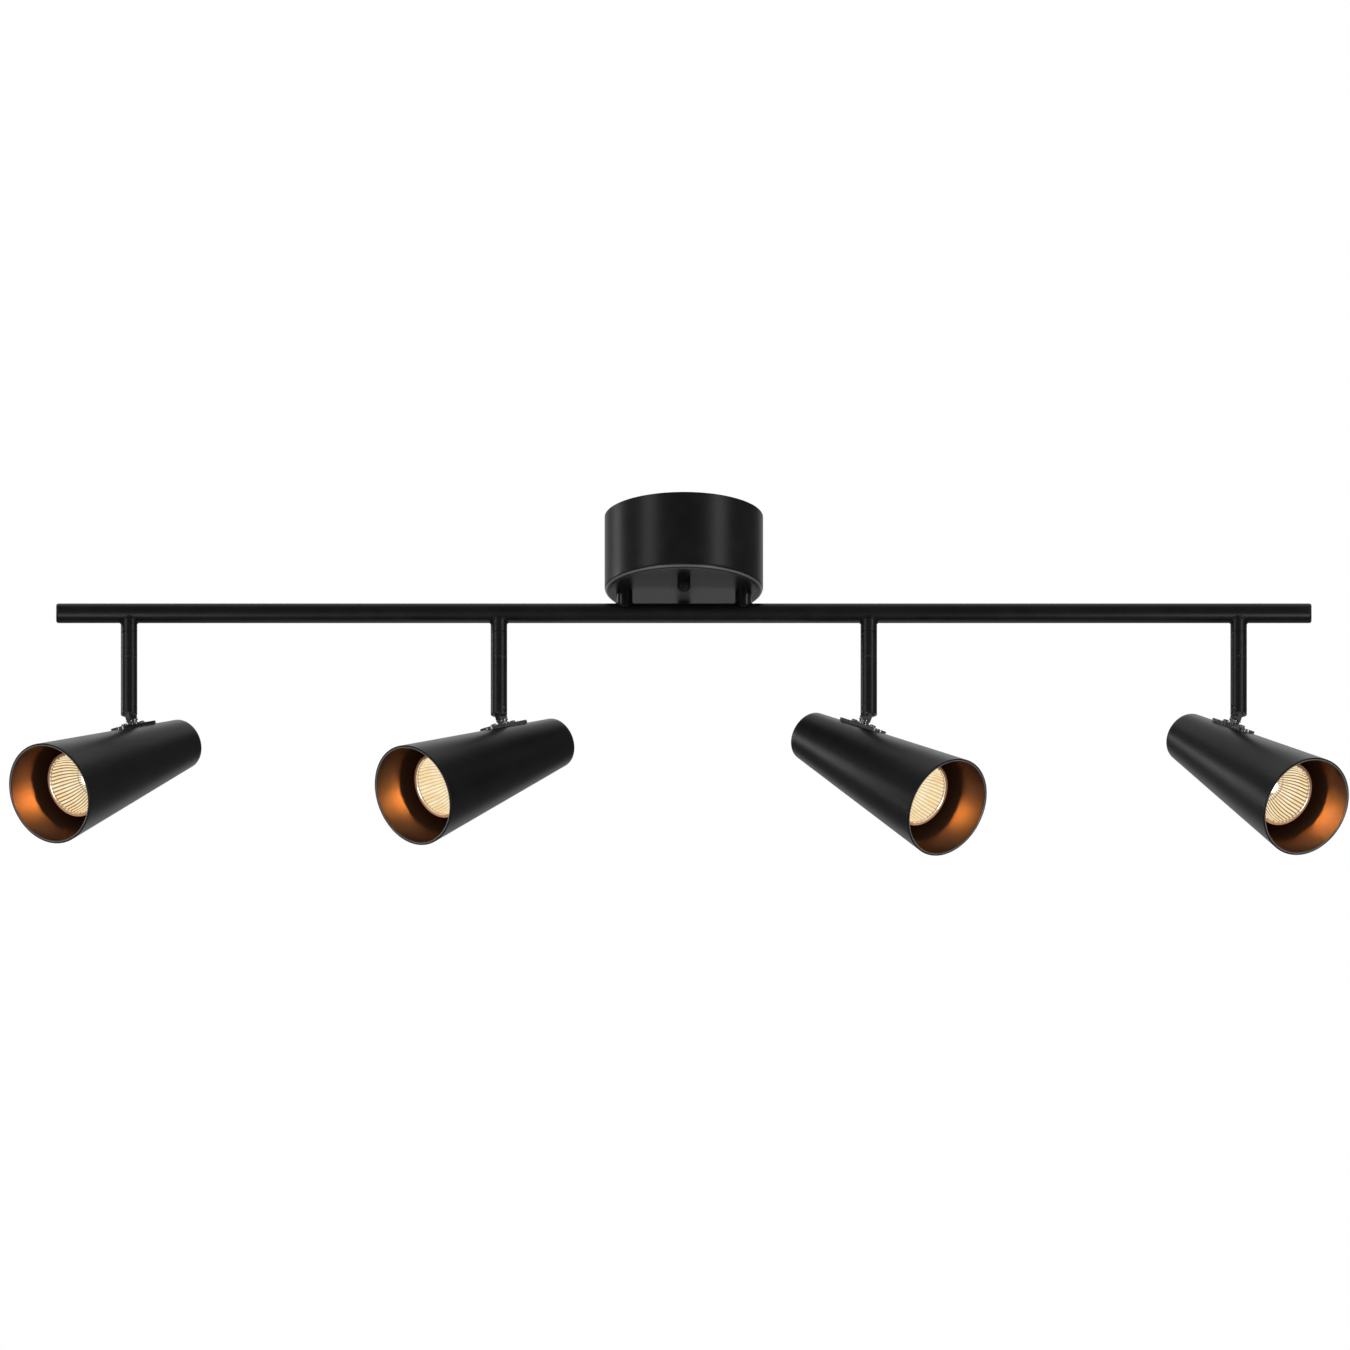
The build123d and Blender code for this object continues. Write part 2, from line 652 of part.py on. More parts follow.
# Spun shade: closed rounded tail, thin wall, open mouth with an eased lip.
wall_across = shade_wall / cone_cosine
with BuildPart() as shade:
    with BuildSketch(Plane.XZ):
        with BuildLine():
            Polyline(
                (shade_tail_x, -axis_below_pin),
                (shade_tail_x, -axis_below_pin + shade_tail_radius),
                (shade_front_x, -axis_below_pin + shade_front_radius),
                (shade_front_x, -axis_below_pin + shade_front_radius - wall_across),
                (
                    shade_tail_x + shade_wall,
                    -axis_below_pin + shade_radius(shade_wall) - wall_across,
                ),
                (shade_tail_x + shade_wall, -axis_below_pin),
                close=True,
            )
        make_face()
    revolve(axis=shade_axis)
    circles = shade.edges().filter_by(GeomType.CIRCLE).sort_by(Axis.X)
    fillet(circles[0], shade_tail_rounding)
    lip_edges = shade.edges().filter_by(GeomType.CIRCLE).sort_by(Axis.X)[-2:]
    fillet(lip_edges, shade_lip_rounding)
    with BuildSketch(knuckle_frame.offset(-plate_bottom_drop - 2 * shade_wall)):
        Circle(knuckle_thread_radius + 0.1)
        with GridLocations(2 * plate_screw_x, 0, 2, 1):
            Circle(plate_screw_radius + 0.1)
    extrude(amount=4 * shade_wall, mode=Mode.SUBTRACT)

# Bracket: a strip under the shade's top line, tapped for the knuckle and the
# plate screws, with a tongue turned down behind the lampholder.
bracket_reach = shade_front_radius
with BuildPart() as lampholder_bracket:
    with BuildSketch(Plane.XZ.offset(-bracket_width / 2)):
        with BuildLine():
            inner_start = shade_radius(bracket_start) - wall_across - bracket_thickness
            inner_end = shade_radius(bracket_end) - wall_across - bracket_thickness
            Polyline(
                (shade_tail_x + bracket_start, 0),
                (shade_tail_x + bracket_end, 0),
                (shade_tail_x + bracket_end, -axis_below_pin - bracket_tongue_below_axis),
                (
                    shade_tail_x + bracket_end - bracket_thickness,
                    -axis_below_pin - bracket_tongue_below_axis,
                ),
                (
                    shade_tail_x + bracket_end - bracket_thickness,
                    -axis_below_pin + inner_end,
                ),
                (shade_tail_x + bracket_start, -axis_below_pin + inner_start),
                close=True,
            )
        make_face()
    extrude(amount=bracket_width)
    with BuildSketch(Plane.XZ):
        with BuildLine():
            Polyline(
                (shade_tail_x, -axis_below_pin),
                (shade_tail_x, -axis_below_pin + shade_tail_radius - wall_across),
                (shade_front_x, -axis_below_pin + shade_front_radius - wall_across),
                (shade_front_x, -axis_below_pin),
                close=True,
            )
        make_face()
    revolve(axis=shade_axis, mode=Mode.INTERSECT)
    with BuildSketch(knuckle_frame.offset(-plate_bottom_drop - 4 * bracket_thickness)):
        Circle(knuckle_thread_radius)
        with GridLocations(2 * plate_screw_x, 0, 2, 1):
            Circle(plate_screw_radius)
    extrude(amount=5 * bracket_thickness, mode=Mode.SUBTRACT)

# Ceramic lampholder: its back rests on the bracket's tongue.
lamp_frame = Plane(origin=(shade_tail_x, 0, -axis_below_pin), x_dir=(0, 1, 0), z_dir=(1, 0, 0))
with BuildPart() as lampholder:
    with BuildSketch(lamp_frame.offset(bracket_end)):
        Circle(holder_radius)
    extrude(amount=holder_length)
    chamfer(lampholder.edges().filter_by(GeomType.CIRCLE), holder_chamfer)
    with BuildSketch(lamp_frame.offset(bracket_end + holder_length)):
        with GridLocations(lamp_pin_spacing, 0, 2, 1):
            Circle(lamp_pin_hole_radius)
    extrude(amount=-lamp_pin_hole_depth, mode=Mode.SUBTRACT)

# Reflector lamp: pressed glass bowl on its base, with two bayonet pins, closed
# by a front glass let into the rim.
base_back = bracket_end + holder_length
base_front = base_back + lamp_base_length
rim_back = lamp_face_from_tail - lamp_rim_length
bowl_bulge = Vector(0.5 * (base_front + rim_back) - 5.0, 0.5 * (lamp_base_radius + lamp_radius) + 3.6)
with BuildPart() as bulb_reflector:
    with BuildSketch(Plane.XZ):
        with BuildLine():
            low = -axis_below_pin
            Line((shade_tail_x + base_back, low), (shade_tail_x + base_back, low + lamp_base_radius))
            Line(
                (shade_tail_x + base_back, low + lamp_base_radius),
                (shade_tail_x + base_front, low + lamp_base_radius),
            )
            ThreePointArc(
                (shade_tail_x + base_front, low + lamp_base_radius),
                (shade_tail_x + bowl_bulge.X, low + bowl_bulge.Y),
                (shade_tail_x + rim_back, low + lamp_radius),
            )
            Polyline(
                (shade_tail_x + rim_back, low + lamp_radius),
                (shade_tail_x + lamp_face_from_tail, low + lamp_radius),
                (shade_tail_x + lamp_face_from_tail, low + lamp_lens_radius),
                (shade_tail_x + rim_back, low + lamp_lens_radius),
            )
            ThreePointArc(
                (shade_tail_x + rim_back, low + lamp_lens_radius),
                (
                    shade_tail_x + bowl_bulge.X,
                    low + bowl_bulge.Y - lamp_glass_wall,
                ),
                (
                    shade_tail_x + base_front + lamp_glass_wall,
                    low + lamp_throat_radius,
                ),
            )
            Polyline(
                (shade_tail_x + base_front + lamp_glass_wall, low + lamp_throat_radius),
                (shade_tail_x + base_front + lamp_glass_wall, low),
                (shade_tail_x + base_back, low),
            )
        make_face()
    revolve(axis=shade_axis)
    with BuildSketch(lamp_frame.offset(base_back - lamp_pin_length)):
        with GridLocations(lamp_pin_spacing, 0, 2, 1):
            Circle(lamp_pin_radius)
    extrude(amount=lamp_pin_length)
    with BuildSketch(lamp_frame.offset(base_back - lamp_pin_length)):
        with GridLocations(lamp_pin_spacing, 0, 2, 1):
            Circle(lamp_pin_head_radius)
    extrude(amount=lamp_pin_length / 3)

with BuildPart() as bulb_lens:
    with BuildSketch(lamp_frame.offset(lamp_face_from_tail - lamp_lens_inset)):
        Circle(lamp_lens_radius)
    extrude(amount=-lamp_lens_thickness)

# ------------------------------------------------------ the four lamp groups
stem_pieces = {
    "swivel_collar": swivel_collar,
    "stem_tube": stem_tube,
    "pivot_screw": pivot_screw,
}
head_pieces = {
    "knuckle": knuckle,
    "mounting_plate": mounting_plate,
    "plate_screws": plate_screws,
    "shade": shade,
    "lampholder_bracket": lampholder_bracket,
    "lampholder": lampholder,
    "bulb_reflector": bulb_reflector,
    "bulb_lens": bulb_lens,
}
for number, head in enumerate(heads, start=1):
    pin = (head["x"], 0, bar_z - pin_drop)
    pan = radians(head["pan"])
    tilt = radians(head["tilt"])
    facing = (head["side"] * sin(pan), -cos(pan), 0)
    along_shade = (facing[0] * cos(tilt), facing[1] * cos(tilt), -sin(tilt))
    over_shade = (facing[0] * sin(tilt), facing[1] * sin(tilt), cos(tilt))
    stem_frame = Plane(origin=pin, x_dir=facing, z_dir=(0, 0, 1))
    head_frame = Plane(origin=pin, x_dir=along_shade, z_dir=over_shade)
    # the right-hand stems are mirror images, so every screw head is at the back
    for name, builder in stem_pieces.items():
        part = builder.part if head["side"] < 0 else mirror(builder.part, about=Plane.XZ)
        finish(part, f"{name}_{number}", stem_frame.location)
    for name, builder in head_pieces.items():
        finish(builder.part, f"{name}_{number}", head_frame.location)
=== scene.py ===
import json
from math import cos, pi, radians, sin, tau

import bpy
from mathutils import Matrix, Vector

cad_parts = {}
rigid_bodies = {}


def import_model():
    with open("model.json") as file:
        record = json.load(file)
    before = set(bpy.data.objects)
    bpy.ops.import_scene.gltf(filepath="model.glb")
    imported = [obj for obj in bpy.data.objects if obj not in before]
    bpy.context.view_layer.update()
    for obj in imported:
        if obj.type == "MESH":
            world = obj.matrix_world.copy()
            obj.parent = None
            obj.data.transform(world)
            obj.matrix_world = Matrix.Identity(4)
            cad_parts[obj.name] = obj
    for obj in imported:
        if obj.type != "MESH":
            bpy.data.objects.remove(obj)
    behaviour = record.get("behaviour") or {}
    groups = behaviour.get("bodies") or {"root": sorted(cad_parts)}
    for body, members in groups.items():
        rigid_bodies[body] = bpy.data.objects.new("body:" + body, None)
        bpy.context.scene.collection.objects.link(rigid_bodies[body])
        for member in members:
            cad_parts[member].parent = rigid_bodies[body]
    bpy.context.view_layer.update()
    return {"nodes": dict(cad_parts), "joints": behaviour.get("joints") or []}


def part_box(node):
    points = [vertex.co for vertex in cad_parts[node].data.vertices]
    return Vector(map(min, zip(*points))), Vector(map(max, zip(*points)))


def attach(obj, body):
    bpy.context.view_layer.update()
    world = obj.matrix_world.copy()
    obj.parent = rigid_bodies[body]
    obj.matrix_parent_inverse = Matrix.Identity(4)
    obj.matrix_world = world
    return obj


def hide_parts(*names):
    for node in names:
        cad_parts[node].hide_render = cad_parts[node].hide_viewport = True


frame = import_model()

nodes = frame["nodes"]
root = "canopy_and_bar"


# ------------------------------------------------------------- ceiling straps
# Two strips pressed from zinc-plated sheet steel and crossed.  The upper one
# screws to the ceiling box, the lower one carries the studs of the canopy, and
# a flared eyelet rivets the two together and lets the supply cable in.
class Link:
    """One socket of a node tree.  Sums with links add the Math nodes for them."""

    def __init__(self, tree, socket):
        self.tree = tree
        self.socket = socket

    def maths(self, operation, *others):
        """A Math node with this link as its first input."""
        inputs = dict(enumerate([self, *others]))
        return self.tree.add("ShaderNodeMath", {"operation": operation}, inputs)

    def __add__(self, other):
        return self.maths("ADD", other)

    __radd__ = __add__

    def __sub__(self, other):
        return self.maths("SUBTRACT", other)

    def __rsub__(self, other):
        return self.tree.add("ShaderNodeMath", {"operation": "SUBTRACT"}, {0: other, 1: self})

    def __mul__(self, other):
        return self.maths("MULTIPLY", other)

    __rmul__ = __mul__

    def __truediv__(self, other):
        return self.maths("DIVIDE", other)

    def __pow__(self, other):
        return self.maths("POWER", other)

    def __gt__(self, other):
        return self.maths("GREATER_THAN", other)

    def ease(self, low, high):
        """0 below low and 1 above high, with a soft step between them."""
        share = (self - low) / (high - low)
        share = share.maths("MAXIMUM", 0.0).maths("MINIMUM", 1.0)
        return share * share * (3.0 - 2.0 * share)


class Tree:
    """A node tree being written.  Every node of it comes from add."""

    def __init__(self, tree):
        self.tree = tree

    def add(self, kind, settings=None, inputs=None, output=0):
        node = self.tree.nodes.new(kind)
        for name, value in (settings or {}).items():
            if name == "choices":
                while len(node.index_switch_items) < value:
                    node.index_switch_items.new()
            else:
                setattr(node, name, value)
        for name, value in (inputs or {}).items():
            socket = node.inputs[name]
            for one in value if isinstance(value, list) else [value]:
                if isinstance(one, Link):
                    self.tree.links.new(one.socket, socket)
                else:
                    socket.default_value = one
        return Link(self, node.outputs[output]) if node.outputs else None

    def parts(self, vector):
        """The x, y and z of a vector link."""
        return [self.add("ShaderNodeSeparateXYZ", {}, {0: vector}, axis) for axis in range(3)]


class Finish(Tree):
    """The finish of a surface, as a shader tree."""

    def __init__(self, name):
        self.material = bpy.data.materials.new(name)
        self.material.use_nodes = True
        self.material.node_tree.nodes.clear()
        super().__init__(self.material.node_tree)
        self.place = self.add("ShaderNodeTexCoord", output="Object")

    def drawn(self, scale):
        """Object coordinates, stretched along each axis by its own scale."""
        return self.add("ShaderNodeMapping", {}, {"Vector": self.place, "Scale": scale})

    def noise(self, scale, detail=2.0, place=None, roughness=0.5):
        inputs = {"Scale": scale, "Detail": detail, "Roughness": roughness}
        inputs["Vector"] = place or self.place
        return self.add("ShaderNodeTexNoise", {}, inputs, "Fac")

    def blend(self, share, first, second):
        """A colour between two colours."""
        inputs = {0: share, 6: first, 7: second}
        return self.add("ShaderNodeMix", {"data_type": "RGBA"}, inputs, 2)

    def relief(self, height, distance, strength=1.0):
        inputs = {"Height": height, "Distance": distance, "Strength": strength}
        return self.add("ShaderNodeBump", {}, inputs)

    def close(self, values):
        """Ends the tree in one shader and gives the finished material."""
        shader = self.add("ShaderNodeBsdfPrincipled", {}, values)
        self.add("ShaderNodeOutputMaterial", {}, {"Surface": shader})
        return self.material


def coat(material, *names):
    """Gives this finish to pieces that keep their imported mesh."""
    for name in names:
        for slot in nodes[name].material_slots:
            slot.material = material


def zinc_plate(name, grain):
    """Zinc plate over rolled steel: fine drawn lines and a cloudy blue-yellow passivation."""
    zinc = Finish(name)
    lines = zinc.noise(1.0, 3.0, zinc.drawn(grain))
    cloud = zinc.noise(160.0, 4.0)
    tint = zinc.blend(cloud.ease(0.35, 0.65), (0.50, 0.53, 0.55, 1), (0.66, 0.62, 0.53, 1))
    stain = zinc.noise(38.0, 3.0).ease(0.58, 0.74)
    values = {"Base Color": zinc.blend(stain * 0.5, tint, (0.36, 0.35, 0.33, 1))}
    values["Metallic"] = 1.0
    values["Roughness"] = 0.24 + 0.16 * lines + 0.14 * stain
    values["Normal"] = zinc.relief(lines, 0.00004, 0.35)
    return zinc.close(values)


coat(zinc_plate("zinc_along_x", (40.0, 1800.0, 1800.0)), "box_strap")
coat(zinc_plate("zinc_along_y", (1800.0, 40.0, 1800.0)), "canopy_strap")
turned_zinc = zinc_plate("zinc_turned", (700.0, 700.0, 2400.0))
coat(turned_zinc, "strap_eyelet")


# ---------------------------------------------------------------- earth screw
# A green-lacquered steel screw with a slotted head, tapped into the upper
# strap, for the earth wire.
lacquer = Finish("green_lacquer")
rub = lacquer.noise(900.0, 4.0).ease(0.60, 0.72)
green = lacquer.blend(lacquer.noise(300.0), (0.028, 0.22, 0.075, 1), (0.05, 0.32, 0.12, 1))
values = {"Base Color": lacquer.blend(rub, green, (0.45, 0.46, 0.45, 1))}
values["Metallic"] = rub * 0.9
values["Roughness"] = 0.30 + 0.14 * lacquer.noise(1500.0)
values["Normal"] = lacquer.relief(lacquer.noise(2600.0, 3.0), 0.00005, 0.3)
coat(lacquer.close(values), "earth_screw")


# ---------------------------------------------------------- studs and cap nuts
# Two zinc-plated studs with a rolled thread hang from the lower strap.  The
# fluted cap nuts that pull the canopy up on them are turned and powder coated.
class Shape(Tree):
    """A Geometry Nodes tree with named inputs for the sizes of a piece."""

    def __init__(self, name, sizes):
        super().__init__(bpy.data.node_groups.new(name, "GeometryNodeTree"))
        sockets = self.tree.interface
        sockets.new_socket("Geometry", in_out="OUTPUT", socket_type="NodeSocketGeometry")
        kinds = {int: "NodeSocketInt", float: "NodeSocketFloat"}
        self.keys = {}
        for label, value in sizes.items():
            kind = kinds.get(type(value), "NodeSocketMaterial")
            made = sockets.new_socket(label, in_out="INPUT", socket_type=kind)
            self.keys[label] = made.identifier
        self.values = dict(sizes)
        given = self.tree.nodes.new("NodeGroupInput")
        self.size = {label: Link(self, given.outputs[label]) for label in sizes}

    def point(self, x, y, z):
        return self.add("ShaderNodeCombineXYZ", {}, {0: x, 1: y, 2: z})

    def at(self, geometry, place):
        return self.add("GeometryNodeSetPosition", {}, {"Geometry": geometry, "Position": place})

    def row(self, mesh, count, first, step):
        """Copies of a mesh, set out in a straight row."""
        inputs = {"Count": count, "Start Location": first, "Offset": step}
        line = self.add("GeometryNodeMeshLine", {"mode": "OFFSET"}, inputs)
        inputs = {"Points": line, "Instance": mesh}
        return self.add("GeometryNodeInstanceOnPoints", {}, inputs)

    def dressed(self, geometry, material):
        """Real faces in place of copies, with their material."""
        inputs = {"Geometry": self.add("GeometryNodeRealizeInstances", {}, {0: geometry})}
        inputs["Material"] = material
        return self.add("GeometryNodeSetMaterial", {}, inputs)

    def end(self, geometry):
        out = self.tree.nodes.new("NodeGroupOutput")
        self.tree.links.new(geometry.socket, out.inputs[0])

    def make(self, name, changes=None, place=None):
        """Runs the tree and gives a plain mesh object, with its place in its mesh."""
        blank = bpy.data.meshes.new(name)
        carrier = bpy.data.objects.new(name, blank)
        bpy.context.scene.collection.objects.link(carrier)
        modifier = carrier.modifiers.new("shape", "NODES")
        modifier.node_group = self.tree
        for label, value in {**self.values, **(changes or {})}.items():
            modifier[self.keys[label]] = value
        graph = bpy.context.evaluated_depsgraph_get()
        mesh = bpy.data.meshes.new_from_object(carrier.evaluated_get(graph))
        carrier.modifiers.remove(modifier)
        carrier.data = mesh
        bpy.data.meshes.remove(blank)
        mesh.transform(place or Matrix.Identity(4))
        return carrier


thread = Shape("rolled_thread", {
    "Radius": 0.002, "Ridge": 0.00036, "Pitch": 0.0008, "Turns": 68.0, "Top": -0.0045,
    "Row X": 0.0, "Row Y": 0.06985, "Count": 2, "Finish": turned_zinc,
})
run = thread.size["Pitch"] * thread.size["Turns"]
helix = thread.add("GeometryNodeCurveSpiral", {}, {
    "Resolution": 20, "Rotations": thread.size["Turns"], "Height": run,
    "Start Radius": thread.size["Radius"] - 0.3 * thread.size["Ridge"],
    "End Radius": thread.size["Radius"] - 0.3 * thread.size["Ridge"],
})
section = thread.add("GeometryNodeCurvePrimitiveCircle", {"mode": "RADIUS"}, {
    "Resolution": 4, "Radius": thread.size["Ridge"],
})
ridge = thread.add("GeometryNodeCurveToMesh", {}, {
    "Curve": helix, "Profile Curve": section, "Fill Caps": True,
})
half = 0.5 - 0.5 * thread.size["Count"]
first = thread.point(
    half * thread.size["Row X"], half * thread.size["Row Y"], thread.size["Top"] - run
)
step = thread.point(thread.size["Row X"], thread.size["Row Y"], 0.0)
threads = thread.row(ridge, thread.size["Count"], first, step)
thread.end(thread.dressed(threads, thread.size["Finish"]))

stud_threads = thread.make("stud_threads")
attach(stud_threads, root)
coat(turned_zinc, "canopy_studs")


def powder_coat(name, depth, gloss, peel, pale_edge_mask=None):
    """Satin black powder, baked on: orange peel, clouded gloss, dust specks, and edges painted pale
    where a mask is given.
    """
    powder = Finish(name)
    skin = powder.noise(850.0, 2.0)
    cloud = powder.noise(70.0, 3.0)
    grit = powder.noise(3200.0, 1.0).ease(0.70, 0.78)
    deep = (depth, depth, depth * 1.04, 1)
    faded = (depth * 1.9, depth * 1.86, depth * 1.9, 1)
    tone = powder.blend(cloud.ease(0.3, 0.75), deep, faded)
    tone = powder.blend(grit * 0.5, tone, (0.06, 0.06, 0.06, 1))
    # edges in the given mask are painted pale and a little glossier
    pale_edges = pale_edge_mask(powder) if pale_edge_mask else grit * 0.0
    values = {"Base Color": powder.blend(pale_edges, tone, (0.34, 0.33, 0.32, 1))}
    values["Roughness"] = gloss - 0.04 + 0.08 * cloud + 0.12 * grit - 0.10 * pale_edges
    values["Specular IOR Level"] = 0.5
    values["Normal"] = powder.relief(skin + 0.4 * grit, 0.00005, peel)
    return powder.close(values)


black_powder = powder_coat("black_powder", 0.0075, 0.36, 0.25)
black_enamel = powder_coat("black_enamel", 0.0075, 0.19, 0.12)
coat(black_enamel, "finial_nuts")


# -------------------------------------------------------------- terminal block
# A three-pole block moulded in white nylon, with plated clamp screws in wells.
nylon = Finish("white_nylon")
flow = nylon.noise(1.0, 3.0, nylon.drawn((90.0, 260.0, 90.0)))
values = {"Base Color": nylon.blend(flow, (0.70, 0.69, 0.63, 1), (0.80, 0.80, 0.76, 1))}
values["Roughness"] = 0.42 + 0.14 * nylon.noise(700.0)
values["Normal"] = nylon.relief(nylon.noise(2400.0, 2.0), 0.00006, 0.3)
coat(nylon.close(values), "terminal_block")
coat(turned_zinc, "terminal_screws")


# --------------------------------------------------------------------- canopy
# A cup pressed from sheet steel, with a rounded lower edge.  It is powder
# coated in satin black all over, inside too, with a pale highlight painted
# along the rounded lower edge.
canopy_low, canopy_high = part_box("canopy_cup")
edge_rounding = 0.004
edge_crest = canopy_low.z + 0.36 * edge_rounding
edge_inside = canopy_high.x - 0.7 * edge_rounding
edge_fade = 0.0008


def painted_edge_highlight(finish):
    """The outside of the rounded lower edge, as a mask for its painted highlight."""
    x, y, z = finish.parts(finish.place)
    near = 1.0 - (z - edge_crest).maths("ABSOLUTE").ease(0.0002, 0.0002 + edge_fade)
    return near * (x * x + y * y).ease(edge_inside ** 2, (edge_inside + edge_fade) ** 2)


# the rounded lower edge gets a painted highlight
coat(powder_coat("canopy_powder", 0.0075, 0.36, 0.25, painted_edge_highlight), "canopy_cup")


# ---------------------------------------------------------------------- posts
# Two black-coated tubes carry the bar.  A plated nut inside the canopy holds
# each thread, and the fish-mouthed foot is brazed all round to the bar.
coat(black_enamel, "canopy_posts")
coat(turned_zinc, "post_nuts")
post_thread_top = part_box("canopy_posts")[1].z
post_threads = thread.make("post_threads", {
    "Radius": 0.005, "Ridge": 0.00045, "Pitch": 0.001, "Turns": 4.0,
    "Top": post_thread_top - 0.0003, "Row X": 0.09, "Row Y": 0.0,
})
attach(post_threads, root)

bar_low, bar_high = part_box("bar_tube")
bar_height = 0.5 * (bar_low.z + bar_high.z)
braze = Shape("braze_bead", {
    "Post Radius": 0.0062, "Bar Radius": 0.0075, "Bar Height": bar_height, "Side": 1.0,
    "Bead": 0.00075, "Ripple": 0.0005, "First": -0.045, "Spacing": 0.09, "Count": 2,
    "Finish": black_powder,
})
ring = braze.add("GeometryNodeCurvePrimitiveCircle", {"mode": "RADIUS"}, {
    "Resolution": 96, "Radius": braze.size["Post Radius"] + 0.1 * braze.size["Bead"],
})
x, y, z = braze.parts(braze.add("GeometryNodeInputPosition"))
reach = braze.size["Bar Radius"] * braze.size["Bar Radius"] - y * y
drop = reach.maths("MAXIMUM", 0.0).maths("SQRT")
seat = braze.point(x, y, braze.size["Side"] * (drop + 0.1 * braze.size["Bead"]))
bead_section = braze.add("GeometryNodeCurvePrimitiveCircle", {"mode": "RADIUS"}, {
    "Resolution": 8, "Radius": braze.size["Bead"],
})
bead = braze.add("GeometryNodeCurveToMesh", {}, {
    "Curve": braze.at(ring, seat), "Profile Curve": bead_section,
})
first = braze.point(braze.size["First"], 0.0, braze.size["Bar Height"])
beads = braze.row(bead, braze.size["Count"], first, braze.point(braze.size["Spacing"], 0.0, 0.0))
beads = braze.add("GeometryNodeRealizeInstances", {}, {0: beads})
lumps = braze.add("ShaderNodeTexNoise", {"noise_dimensions": "4D"}, {
    "Scale": 420.0, "Detail": 2.0, "W": 3.0,
}, "Fac")
lift = braze.add("ShaderNodeVectorMath", {"operation": "SCALE"}, {
    0: braze.add("GeometryNodeInputNormal"), "Scale": (lumps - 0.5) * braze.size["Ripple"],
})
beads = braze.add("GeometryNodeSetPosition", {}, {"Geometry": beads, "Offset": lift})
braze.end(braze.dressed(beads, braze.size["Finish"]))

post_brazing = braze.make("post_brazing")
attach(post_brazing, root)


# ------------------------------------------------------------------------ bar
# A straight steel tube, powder coated, closed by two domed plugs turned from
# bar stock.
coat(black_powder, "bar_tube", "bar_end_caps")


# -------------------------------------------------------------------- saddles
# Four turned saddles are brazed under the bar.  A stem turns on the shank of
# each, and a plated nut inside the stem's collar keeps it there.
coat(black_powder, "stem_saddles")
coat(turned_zinc, "swivel_retainers")
saddle_low, saddle_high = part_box("stem_saddles")
saddle_radius = 0.5 * (saddle_high.y - saddle_low.y)
first_saddle = saddle_low.x + saddle_radius
saddle_brazing = braze.make("saddle_brazing", {
    "Post Radius": saddle_radius, "Side": -1.0, "First": first_saddle,
    "Spacing": -2 * first_saddle / 3, "Count": 4,
})
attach(saddle_brazing, root)


# -------------------------------------------------------------------- harness
# The leads run down a post, along the bar and into the saddles, in a black
# PVC sheath.
pvc = Finish("black_pvc")
bloom = pvc.noise(220.0, 3.0)
values = {"Base Color": pvc.blend(bloom, (0.018, 0.018, 0.019, 1), (0.04, 0.04, 0.042, 1))}
values["Roughness"] = 0.42 + 0.2 * bloom
values["Normal"] = pvc.relief(pvc.noise(1800.0, 2.0), 0.00005, 0.3)
coat(pvc.close(values), "bar_harness")


# ---------------------------------------------------------------------- stems
# Each stem is a collar that turns on its saddle and a tube pressed into the
# collar.  A slot in the end of the tube makes the fork for the knuckle.  The
# coat has pale, broken flecks along the seams of the collar and round the fork.
collar_low, collar_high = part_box("swivel_collar_1")
stem_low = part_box("stem_tube_1")[0]
fleck_shares = {collar_low.z: 0.35, collar_high.z: 0.30, stem_low.z: 0.9}


def stem_edges(finish):
    """The pale flecks along the seams and round the fork, as a mask."""
    x, y, z = finish.parts(finish.place)
    flecks = finish.noise(1100.0, 2.0).ease(0.44, 0.58)
    seams = flecks * 0.0
    for level, share in fleck_shares.items():
        off = (z - level).maths("ABSOLUTE")
        seams = seams + share * (1.0 - off.ease(0.0002, 0.0006))
    return seams * flecks


stem_powder = powder_coat("stem_powder", 0.0075, 0.36, 0.25, stem_edges)
for number in range(1, 5):
    coat(stem_powder, f"swivel_collar_{number}", f"stem_tube_{number}")


# ------------------------------------------------------ knuckles and their plates
# The pivot screw, the knuckle with its turned neck, the strip that it stands
# on and the two pan-head screws are steel, bright plated in black nickel.
def black_nickel_plate(name, rings):
    """Bright black nickel: a dark mirror with faint turning lines and soft smudges."""
    nickel = Finish(name)
    lines = nickel.noise(1.0, 2.0, nickel.drawn(rings))
    smudge = nickel.noise(240.0, 3.0).ease(0.45, 0.7)
    tone = nickel.blend(smudge, (0.46, 0.455, 0.45, 1), (0.30, 0.29, 0.28, 1))
    values = {"Base Color": tone, "Metallic": 1.0}
    values["Roughness"] = 0.10 + 0.10 * smudge + 0.05 * lines
    values["Normal"] = nickel.relief(lines, 0.00003, 0.25)
    return nickel.close(values)


black_nickel = black_nickel_plate("black_nickel", (900.0, 900.0, 2600.0))
for number in range(1, 5):
    coat(black_nickel, f"pivot_screw_{number}", f"knuckle_{number}")
    coat(black_nickel, f"mounting_plate_{number}", f"plate_screws_{number}")


# --------------------------------------------------------------------- shades
# Each shade is one sheet of aluminium spun to a cone with a closed, rounded
# tail, powder coated satin black outside and matt black inside.  The mouth is
# hemmed inwards, and a pale highlight is painted along the hem's inner edge.
front_radius = 0.039
tail_radius = 0.01875
shade_length = 0.1638
shade_wall = 0.0012
hem_depth = 0.0020
hem_length = 0.0016
cone_slope = (front_radius - tail_radius) / shade_length
axis_below_pin = 0.039
pin_from_tail = 0.0462
lamp_face = 0.1344

lathe_segments = 144
crease = radians(32)
weld = 0.000002


